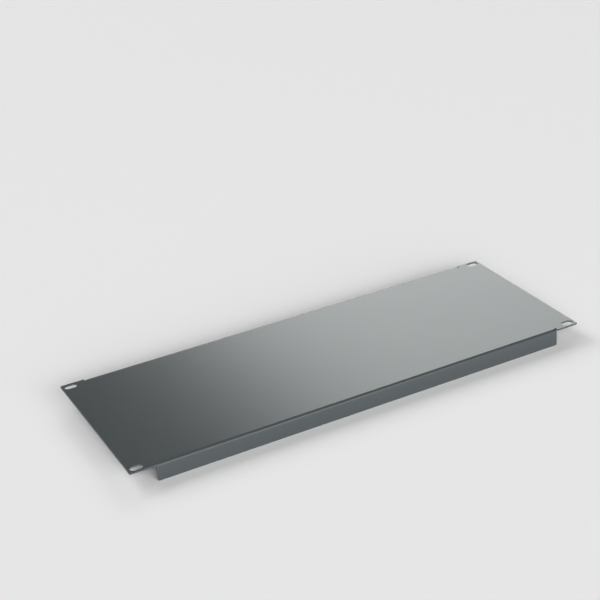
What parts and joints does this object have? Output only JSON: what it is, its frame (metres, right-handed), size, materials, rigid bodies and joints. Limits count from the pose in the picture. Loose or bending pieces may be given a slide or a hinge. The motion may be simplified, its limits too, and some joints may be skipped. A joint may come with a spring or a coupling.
{
  "type": "rack blanking panel",
  "caption": "Flat painted-steel panel that covers unused height in a rack, with an oval fixing slot near each corner and both long edges folded back as shallow flanges.",
  "frame": {"origin": "under the middle of the face, in the plane of the flanges' cut edges, on which the panel lies face up", "axes": "+X along the panel from ear to ear, +Y across it from one flange to the other, +Z out of the front face"},
  "size_m": [0.4826, 0.177, 0.0173],
  "materials": {
    "painted_steel": "satin"
  },
  "bodies": {
    "root": {"blanking_panel": "painted_steel"}
  },
  "joints": []
}
